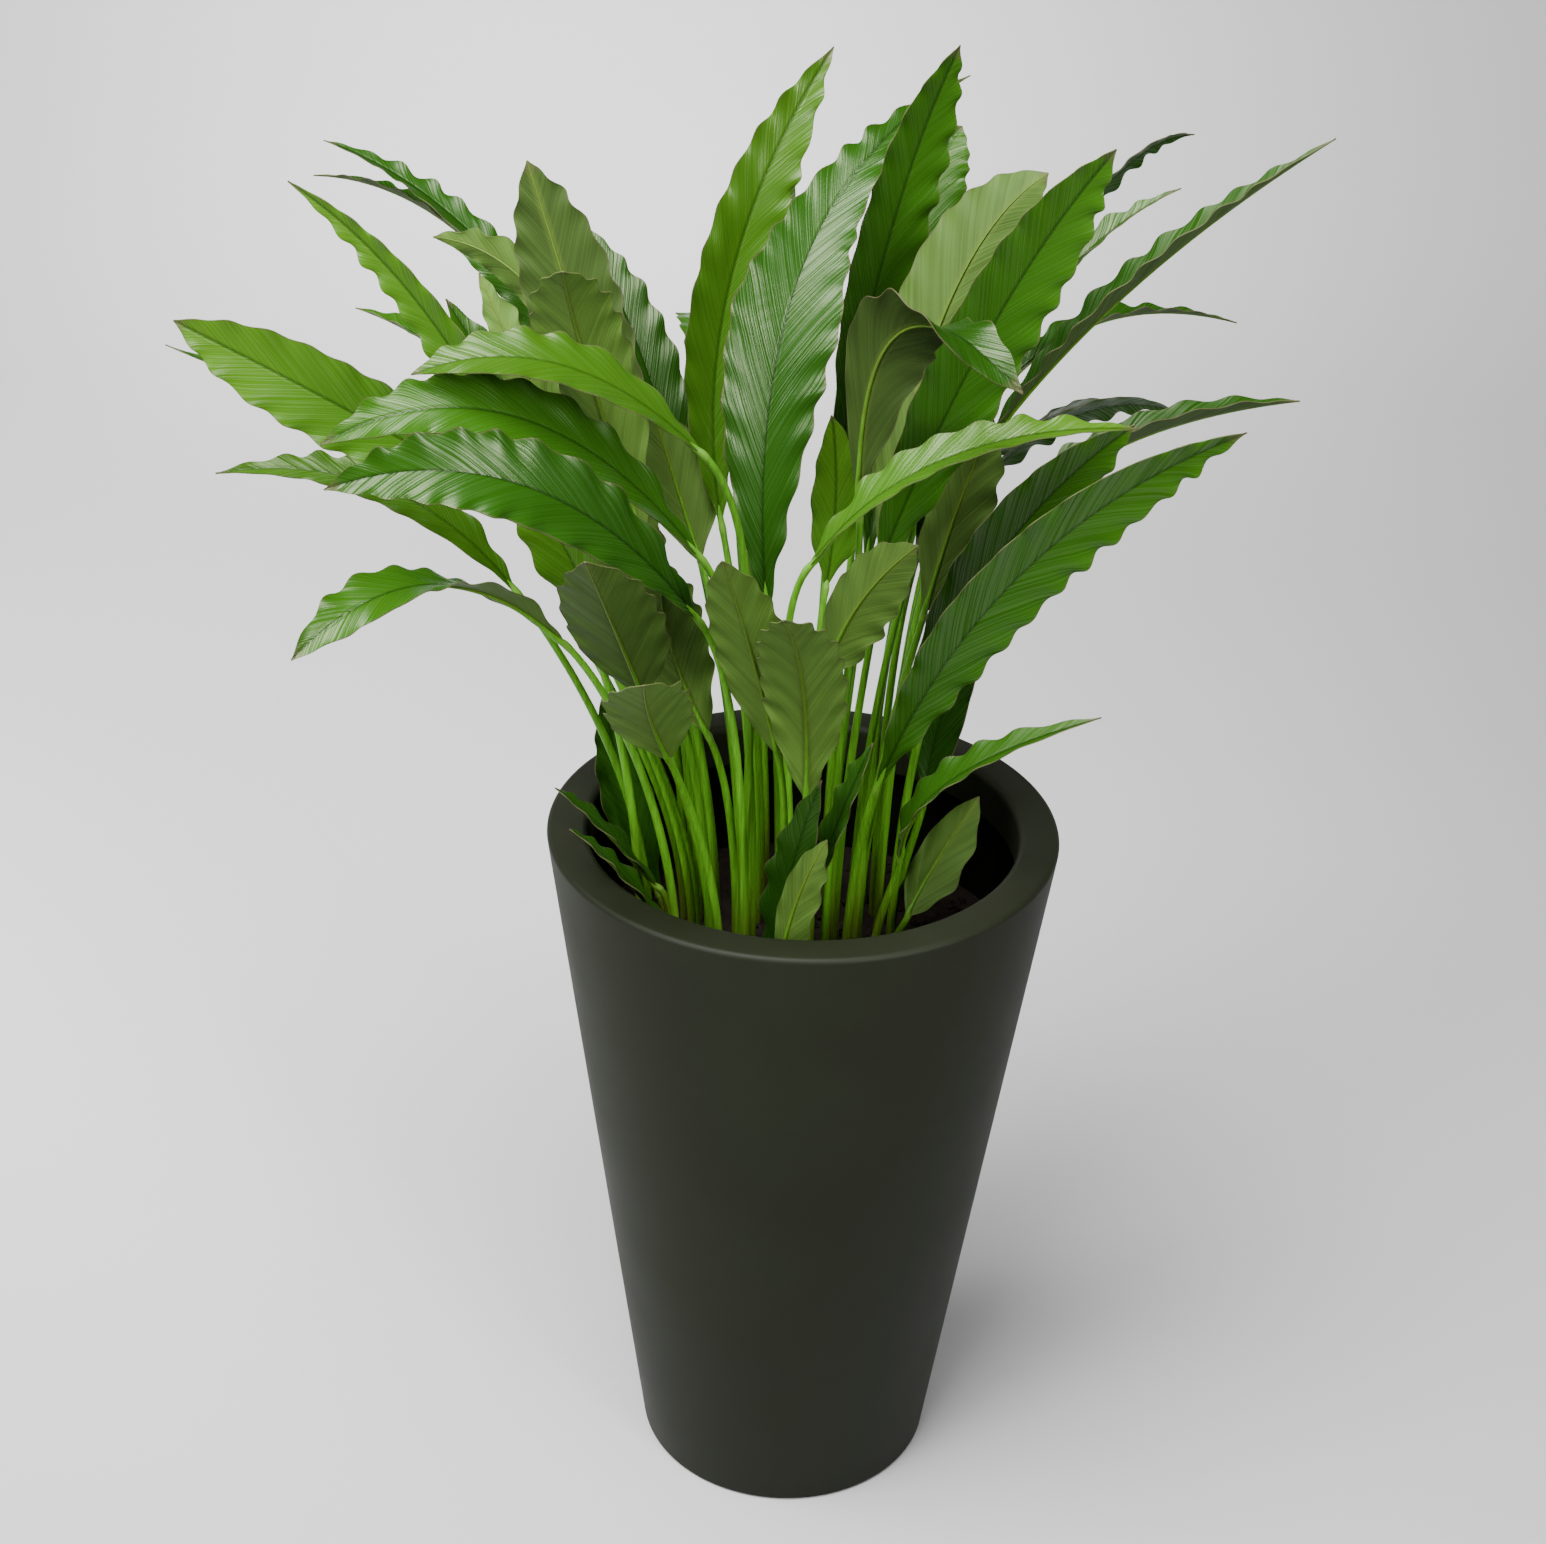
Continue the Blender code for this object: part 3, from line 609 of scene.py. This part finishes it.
def turned(profile):
    """A closed bmesh spun about Z from (radius, height) points that start and end on the axis."""
    bm = bmesh.new()
    points = [bm.verts.new((radius, 0.0, height)) for radius, height in profile]
    edges = [bm.edges.new(pair) for pair in zip(points, points[1:])]
    bmesh.ops.spin(bm, geom=points + edges, cent=(0, 0, 0), axis=(0, 0, 1), angle=math.tau,
                   steps=TURNS, use_merge=True)
    bmesh.ops.remove_doubles(bm, verts=bm.verts, dist=0.005 * MM)
    bmesh.ops.recalc_face_normals(bm, faces=bm.faces)
    return bm


def planter_profile():
    """The shell's outline, from the middle of its floor over the lip to the middle of its base."""
    options = planter_settings()
    lip_inner = options.rim_radius - options.lip_width
    lip_under = options.height - options.lip_depth
    profile = [(0.0, FLOOR_THICKNESS), (inner_radius(FLOOR_THICKNESS), FLOOR_THICKNESS),
               (inner_radius(lip_under), lip_under), (lip_inner, lip_under)]
    profile += quarter_round((lip_inner + INNER_ROUND, options.height - INNER_ROUND), INNER_ROUND, 180)
    profile += quarter_round((options.rim_radius - EDGE_ROUND, options.height - EDGE_ROUND), EDGE_ROUND, 90)
    profile += quarter_round((outer_radius(0.0) - EDGE_ROUND, EDGE_ROUND), EDGE_ROUND, 0)
    profile.append((0.0, 0.0))
    return profile


def soil_profile(rings=26):
    """Mound, wall and bottom of the potting mix."""
    top = soil_top()
    bottom = FLOOR_THICKNESS + SOIL_GAP
    wall = inner_radius(top) - SOIL_GAP
    mound = [(wall * i / rings, top + SOIL_MOUND * (1 - (i / rings) ** 2)) for i in range(rings + 1)]
    return mound + [(inner_radius(bottom) - SOIL_GAP, bottom), (0.0, bottom)]


def roughen_soil(bm):
    """Lift and lower the surface like loose mix, and leave its wall and bottom alone."""
    top = soil_top()
    edge = inner_radius(top) - 3 * MM
    for vert in bm.verts:
        if vert.co.z > top - 1 * MM and math.hypot(vert.co.x, vert.co.y) < edge:
            coarse = noise.noise(vert.co * 45.0) * 3.0 * MM
            fine = noise.noise(vert.co * 150.0) * 1.6 * MM
            vert.co.z += coarse + fine - 1.5 * MM


def scatter_crumbs(bm, count):
    """Small lumps and chips half sunk in the surface."""
    draw = random.Random(11)
    wall = inner_radius(soil_top())
    for _ in range(count):
        radius = (wall - 8 * MM) * math.sqrt(draw.random())
        angle = draw.uniform(0, math.tau)
        height = soil_top() + SOIL_MOUND * (1 - (radius / wall) ** 2) - 1 * MM
        place = Matrix.Translation((radius * math.cos(angle), radius * math.sin(angle), height))
        turn = Matrix.Rotation(draw.uniform(0, math.pi), 4, Vector((draw.random(), draw.random(), 1)))
        flat = Matrix.Diagonal((1.0, draw.uniform(0.4, 0.9), draw.uniform(0.35, 0.8), 1.0))
        bmesh.ops.create_icosphere(bm, subdivisions=1, radius=draw.uniform(1.2, 4.2) * MM,
                                   matrix=place @ turn @ flat)


# Leafy stems

def spread_feet(joints):
    """Where each stalk leaves the soil: pulled in under its joint, then pushed clear of the others."""
    feet = []
    for joint in joints:
        climb = min(1.0, max(0.0, (joint.z - soil_top()) / FOOT_PULL_SPAN))
        pull = FOOT_PULL_LOW + (FOOT_PULL_HIGH - FOOT_PULL_LOW) * climb
        feet.append(Vector((joint.x * pull, joint.y * pull, 0.0)))
    for _ in range(SPREAD_ROUNDS):
        for i, one in enumerate(feet):
            for other in feet[i + 1:]:
                apart = one - other
                short = FOOT_SPACING - apart.length
                if short > 0:
                    push = apart.normalized() * short / 2
                    one += push
                    other -= push
            if one.length > FOOT_REACH:
                one *= FOOT_REACH / one.length
    return feet


def bezier(points, t):
    a, b, c, d = points
    u = 1 - t
    return a * u ** 3 + b * 3 * u * u * t + c * 3 * u * t * t + d * t ** 3


def half_width(s, fullness):
    """Outline of a lance-shaped blade: round at the base, and straight or full towards its sharp tip."""
    if s < WIDEST_AT:
        return (1 - (1 - s / WIDEST_AT) ** 2) ** BASE_FULLNESS
    return 1 - ((s - WIDEST_AT) / (1 - WIDEST_AT)) ** fullness


def upright_to(facing, heading):
    return (facing - heading * facing.dot(heading)).normalized()


def compass(angle, lift):
    """A unit vector from a compass angle and a lift, both in degrees."""
    a, b = math.radians(angle), math.radians(lift)
    return Vector((math.cos(a) * math.cos(b), math.sin(a) * math.cos(b), math.sin(b)))


def ease(share):
    """Smooth step from 0 to 1."""
    share = min(1.0, max(0.0, share))
    return share * share * (3 - 2 * share)


class Leaf:
    """One leafy stem: its stalk, its rib and the waves of its blade."""

    MIN_HALF = 0.45 * MM

    def __init__(self, values, foot, draw):
        self.joint, self.middle, self.tip = (Vector(place) * MM for place in values[:3])
        self.width, self.fullness = values[3][0] * MM, values[3][1]
        angle, lift, turn, fold = values[4]
        self.facing = compass(angle, lift)
        self.turn, self.fold = math.radians(turn), math.radians(fold)
        self.tone = values[5]
        self.foot = foot
        self.length = (self.middle - self.joint).length + (self.tip - self.middle).length
        self.shade = draw.random()
        self.drift = draw.uniform(0, math.tau), draw.uniform(0, math.tau)

    def rib_point(self, s):
        """A point and heading on the smooth curve through the joint, the middle and the tip."""
        place = (self.joint * (1 - s) * (1 - 2 * s) + self.middle * 4 * s * (1 - s)
                 + self.tip * s * (2 * s - 1))
        heading = self.joint * (4 * s - 3) + self.middle * (4 - 8 * s) + self.tip * (4 * s - 1)
        return place, heading.normalized()

    def up(self, heading, s):
        """Which way the upper face looks at a share of the blade's length."""
        return Matrix.Rotation(self.turn * s * s, 3, heading) @ upright_to(self.facing, heading)

    def wave(self, run, side):
        """How a wave that leaves the rib at this distance swings, from about -1 to 1."""
        drift = self.drift[side]
        turn = math.tau * run / WAVE_SPACING + 1.4 * noise.noise(Vector((run * 20, drift, 0))) + drift
        return math.sin(turn) * (0.8 + 0.6 * noise.noise(Vector((run * 19, 0, drift))))

    def row(self, s):
        """What all the points across the blade share at one station."""
        place, heading = self.rib_point(s)
        up = self.up(heading, s)
        half = max(self.MIN_HALF, half_width(s, self.fullness) * self.width / 2)
        return place, up, heading.cross(up), half

    def blade_point(self, row, s, u, options):
        """A point at u from -1 to 1 across the blade, and its distance from the rib."""
        place, up, side, half = row
        out = abs(u)
        across = u * half
        run = s * self.length - VEIN_SLANT * abs(across)
        wave = self.wave(s * self.length - WAVE_SLANT * abs(across), 0 if u < 0 else 1)
        full = min(1.0, half / (11 * MM), (1 - s) * self.length / (34 * MM))
        reach = across * math.cos(self.fold) + math.copysign(WAVE_OUTLINE, u) * wave * full * out ** 4
        pleat = math.sin(math.tau * run / PLEAT_SPACING + self.drift[0]) * math.sin(math.pi * out)
        soft = noise.noise(Vector((run * 38, across * 30, self.shade * 50 + (u > 0)))) * out * (1.2 - out)
        lift = (half * math.sin(self.fold) * out ** 1.15
                + (options.wave * wave * out ** 3 + options.pleat * pleat + 2.2 * MM * soft) * full)
        return place + side * reach + up * lift, across

    def stalk_path(self):
        """Points and radii from the root in the soil up to the joint, and each one's distance to it."""
        start = Vector((self.foot.x, self.foot.y, soil_top() + 1.2 * SOIL_MOUND))
        heading = self.rib_point(0.0)[1]
        span = (self.joint - start).length
        curve = (start, start + Vector((0, 0, STALK_RISE * span)),
                 self.joint - heading * STALK_RUN_IN * span, self.joint)
        path = [(start - Vector((0, 0, ROOT_DEPTH)), STALK_BASE_RADIUS, -span - ROOT_DEPTH)]
        for i in range(STALK_STEPS):
            t = i / STALK_STEPS
            radius = STALK_BASE_RADIUS + (STALK_TOP_RADIUS - STALK_BASE_RADIUS) * t
            path.append((bezier(curve, t), radius, (t - 1) * span))
        return path

    def rib_path(self):
        """Points and radii of the rib, which sinks under the blade just past the joint."""
        path = []
        for i in range(RIB_STEPS + 1):
            s = (i / RIB_STEPS) ** 1.4
            place, heading = self.rib_point(s)
            slim = RIB_RADIUS + (RIB_TIP_RADIUS - RIB_RADIUS) * s
            radius = STALK_TOP_RADIUS + (slim - STALK_TOP_RADIUS) * ease(s / 0.12)
            collar = 0.4 * MM * (1 - ease(s * self.length / COLLAR_LENGTH))
            sink = (radius + 0.15 * MM) * ease(s / 0.06)
            path.append((place - self.up(heading, s) * sink, radius + collar, s * self.length))
        return path


def blade(bm, layers, leaf, options):
    """Add the blade as a thin closed sheet: upper face in slot 0, underside and rim in slot 1."""
    rows = max(40, round(leaf.length / BLADE_STEP))
    made = bmesh.ops.create_grid(bm, x_segments=BLADE_COLUMNS, y_segments=rows, size=1.0)
    stations = {}
    for vert in made["verts"]:
        s = (vert.co.y + 1) / 2
        u = vert.co.x * (1.2 - 0.2 * vert.co.x ** 2)
        index = round(s * rows)
        if index not in stations:
            stations[index] = leaf.row(s)
        vert.co, reach = leaf.blade_point(stations[index], s, u, options)
        for key, value in (("across", reach), ("along", s * leaf.length), ("edge", abs(u)),
                           ("share", s), ("shade", leaf.shade)):
            vert[layers[key]] = value
    upper = list(bm.faces)
    bm.normal_update()
    bmesh.ops.solidify(bm, geom=upper, thickness=options.thickness)
    seen = set(upper)
    for face in bm.faces:
        face.material_index = 0 if face in seen else 1


def tube(bm, layers, leaf, path):
    """Add a round closed tube along (place, radius, distance) stations, in slot 2."""
    before = set(bm.faces)
    made = bmesh.ops.create_grid(bm, x_segments=STALK_SIDES, y_segments=len(path) - 1, size=1.0)
    places = [station[0] for station in path]
    frames = []
    side = None
    for i, place in enumerate(places):
        heading = (places[min(i + 1, len(path) - 1)] - places[max(i - 1, 0)]).normalized()
        side = upright_to(side or heading.orthogonal(), heading)
        frames.append((side, heading.cross(side)))
    for vert in made["verts"]:
        index = round((vert.co.y + 1) / 2 * (len(path) - 1))
        angle = math.pi * (vert.co.x + 1)
        place, radius, distance = path[index]
        one, other = frames[index]
        vert.co = place + (one * math.cos(angle) + other * math.sin(angle)) * radius
        for key, value in (("along", distance), ("shade", leaf.shade)):
            vert[layers[key]] = value
    bmesh.ops.remove_doubles(bm, verts=made["verts"], dist=0.01 * MM)
    faces = [face for face in bm.faces if face not in before]
    ends = [edge for face in faces for edge in face.edges if edge.is_boundary]
    caps = bmesh.ops.holes_fill(bm, edges=list(set(ends)), sides=0)["faces"]
    faces += caps
    bmesh.ops.recalc_face_normals(bm, faces=faces)
    for face in faces:
        face.material_index = 2


def leaf_mesh(name, leaf, materials):
    """Blade, rib and stalk of one leafy stem as one mesh."""
    bm = bmesh.new()
    layers = {key: bm.verts.layers.float.new(key) for key in ("across", "along", "edge", "share", "shade")}
    blade(bm, layers, leaf, leaf_settings())
    tube(bm, layers, leaf, leaf.stalk_path() + leaf.rib_path())
    return smooth_mesh(bm, name, materials, sharp_angle=60.0)


# Stage

def aim(obj, place, target, roll=0.0):
    """Put an object at a place, looking at a target, rolled anticlockwise by degrees."""
    turn = (target - place).to_track_quat("-Z", "Y").to_matrix().to_4x4()
    obj.matrix_world = Matrix.Translation(place) @ turn @ Matrix.Rotation(math.radians(roll), 4, "Z")


def soft_light(name, power, width, height, place, target, spread=180.0):
    light = bpy.data.lights.new(name, "AREA")
    light.shape = "RECTANGLE"
    light.size = width
    light.size_y = height
    light.spread = math.radians(spread)
    light.energy = power
    aim(link_object(name, light), place, target)


def studio_bowl(options):
    """Floor that curves up into a backdrop all round, so that every view has an even ground."""
    flat, curve, top = 2.8, 1.8, 3.2
    bm = bmesh.new()
    profile = [(0.0, 0.0), (flat, 0.0)]
    profile += [(flat + curve * math.sin(math.radians(a)), curve * (1 - math.cos(math.radians(a))))
                for a in range(10, 91, 10)]
    profile.append((flat + curve, top))
    points = [bm.verts.new((radius, 0.0, height)) for radius, height in profile]
    edges = [bm.edges.new(pair) for pair in zip(points, points[1:])]
    bmesh.ops.spin(bm, geom=points + edges, cent=(0, 0, 0), axis=(0, 0, 1), angle=math.tau,
                   steps=96, use_merge=True)
    bmesh.ops.remove_doubles(bm, verts=bm.verts, dist=1 * MM)
    bmesh.ops.recalc_face_normals(bm, faces=bm.faces)
    if next(face for face in bm.faces if face.calc_center_median().z < 1 * MM).normal.z < 0:
        bmesh.ops.reverse_faces(bm, faces=bm.faces)
    return link_object("Studio floor", smooth_mesh(bm, "Studio floor", [floor_finish(options.floor)], 60.0))


def photo_camera():
    """The camera at the photograph's viewing angle."""
    camera = bpy.data.cameras.new("Photo view")
    camera.sensor_width = SENSOR_WIDTH
    camera.lens = SENSOR_WIDTH * FOCAL_LENGTH_PIXELS / IMAGE_WIDTH
    camera.clip_end = 50.0
    elevation = math.radians(CAMERA_ELEVATION)
    back = Vector((0.0, -math.cos(elevation), math.sin(elevation)))
    obj = link_object("Photo view", camera)
    aim(obj, CAMERA_TARGET + back * CAMERA_DISTANCE, CAMERA_TARGET, CAMERA_ROLL)
    return obj


class CALATHEA_OT_planter(bpy.types.Operator):
    """Build the tapered planter"""

    bl_idname = "calathea.planter"
    bl_label = "Planter"

    def execute(self, context):
        options = planter_settings()
        bm = turned(planter_profile())
        lip_under = options.height - options.lip_depth
        for face in bm.faces:
            middle = face.calc_center_median()
            inside = math.hypot(middle.x, middle.y) < outer_radius(middle.z) - options.wall / 2
            # faces inside the shell below the lip take slot 1, its painted shade
            face.material_index = 1 if inside and FLOOR_THICKNESS / 2 < middle.z < lip_under + 1 * MM else 0
        mesh = smooth_mesh(bm, "Planter shell", [planter_finish(options), inner_wall_painted_shade(options)])
        add_piece("Planter_shell", mesh, "planter")
        return {"FINISHED"}


class CALATHEA_OT_soil(bpy.types.Operator):
    """Fill the planter with potting mix"""

    bl_idname = "calathea.soil"
    bl_label = "Potting mix"

    def execute(self, context):
        options = planter_settings()
        bm = turned(soil_profile())
        roughen_soil(bm)
        scatter_crumbs(bm, options.crumbs)
        add_piece("Potting_mix", smooth_mesh(bm, "Potting mix", [soil_finish(options)]), "soil")
        return {"FINISHED"}


class CALATHEA_OT_leaves(bpy.types.Operator):
    """Grow every leafy stem"""

    bl_idname = "calathea.leaves"
    bl_label = "Leafy stems"

    def execute(self, context):
        options = leaf_settings()
        tops = {tone: upper_face_finish("Blade " + tone, getattr(options, tone), options)
                for tone in ("deep", "mid", "light")}
        # the darker underside levels are partly painted shade
        unders = {tone: underside_finish("Underside " + tone, tinted(options.under, level))
                  for tone, level in UNDERSIDE_LEVELS.items()}
        stalk = stalk_finish(options, soil_top())
        feet = spread_feet([Vector(values[0]) * MM for values in LEAVES.values()])
        for (name, values), foot in zip(LEAVES.items(), feet):
            leaf = Leaf(values, foot, random.Random("leaf " + name))
            mesh = leaf_mesh("Leaf " + name, leaf, [tops[leaf.tone], unders[leaf.tone], stalk])
            add_piece("Leaf_" + name, mesh, "leaf_" + name)
        return {"FINISHED"}


class CALATHEA_OT_stage(bpy.types.Operator):
    """Set up the pale floor, soft lights and camera"""

    bl_idname = "calathea.stage"
    bl_label = "Stage"

    def execute(self, context):
        options = stage_settings()
        studio_bowl(options)
        soft_light("Key light", options.key, 1.8, 1.8, Vector((-0.6, -0.7, 2.9)), Vector((0.0, 0.0, 0.7)))
        soft_light("Side light", options.side, 0.8, 1.1, Vector((1.6, -2.1, 2.1)), Vector((0.0, 0.0, 1.0)), 50.0)
        soft_light("Front light", options.front, 1.2, 1.2, Vector((-2.0, -1.9, 2.0)), Vector((-0.1, 0.0, 0.95)), 50.0)
        soft_light("Left light", options.left, 1.4, 1.0, Vector((-2.2, 0.3, 2.2)), Vector((-1.1, 1.2, 0.0)), 75.0)
        soft_light("Backdrop light", options.backdrop, 1.4, 0.8, Vector((-0.4, 2.8, 1.5)), Vector((-0.45, 3.9, 0.3)))
        world = bpy.data.worlds.new("Studio")
        world.use_nodes = True
        background = world.node_tree.nodes["Background"]
        background.inputs["Color"].default_value = (1.0, 1.0, 1.0, 1.0)
        background.inputs["Strength"].default_value = options.sky
        context.scene.world = world
        context.scene.camera = photo_camera()
        return {"FINISHED"}


class CALATHEA_PT_panel(bpy.types.Panel):
    """Settings and steps of the potted calathea"""

    bl_idname = "CALATHEA_PT_panel"
    bl_label = "Potted calathea"
    bl_space_type = "VIEW_3D"
    bl_region_type = "UI"
    bl_category = "Calathea"

    def draw(self, context):
        sections = (
            (planter_settings(), CalatheaPlanterSettings, (CALATHEA_OT_planter, CALATHEA_OT_soil)),
            (leaf_settings(), CalatheaLeafSettings, (CALATHEA_OT_leaves,)),
            (stage_settings(), CalatheaStageSettings, (CALATHEA_OT_stage,)),
        )
        for values, group, operators in sections:
            box = self.layout.box()
            for name in group.__annotations__:
                box.prop(values, name)
            for operator in operators:
                box.operator(operator.bl_idname)


CLASSES = (CalatheaPlanterSettings, CalatheaLeafSettings, CalatheaStageSettings, CALATHEA_OT_planter,
           CALATHEA_OT_soil, CALATHEA_OT_leaves, CALATHEA_OT_stage, CALATHEA_PT_panel)


def register():
    for cls in CLASSES:
        bpy.utils.register_class(cls)
    bpy.types.Scene.calathea_planter = PointerProperty(type=CalatheaPlanterSettings)
    bpy.types.Scene.calathea_leaves = PointerProperty(type=CalatheaLeafSettings)
    bpy.types.Scene.calathea_stage = PointerProperty(type=CalatheaStageSettings)


def unregister():
    del bpy.types.Scene.calathea_stage
    del bpy.types.Scene.calathea_leaves
    del bpy.types.Scene.calathea_planter
    for cls in reversed(CLASSES):
        bpy.utils.unregister_class(cls)


def main():
    register()
    bpy.ops.calathea.stage()
    bpy.ops.calathea.planter()
    bpy.ops.calathea.soil()
    bpy.ops.calathea.leaves()


if __name__ == "__main__":
    main()
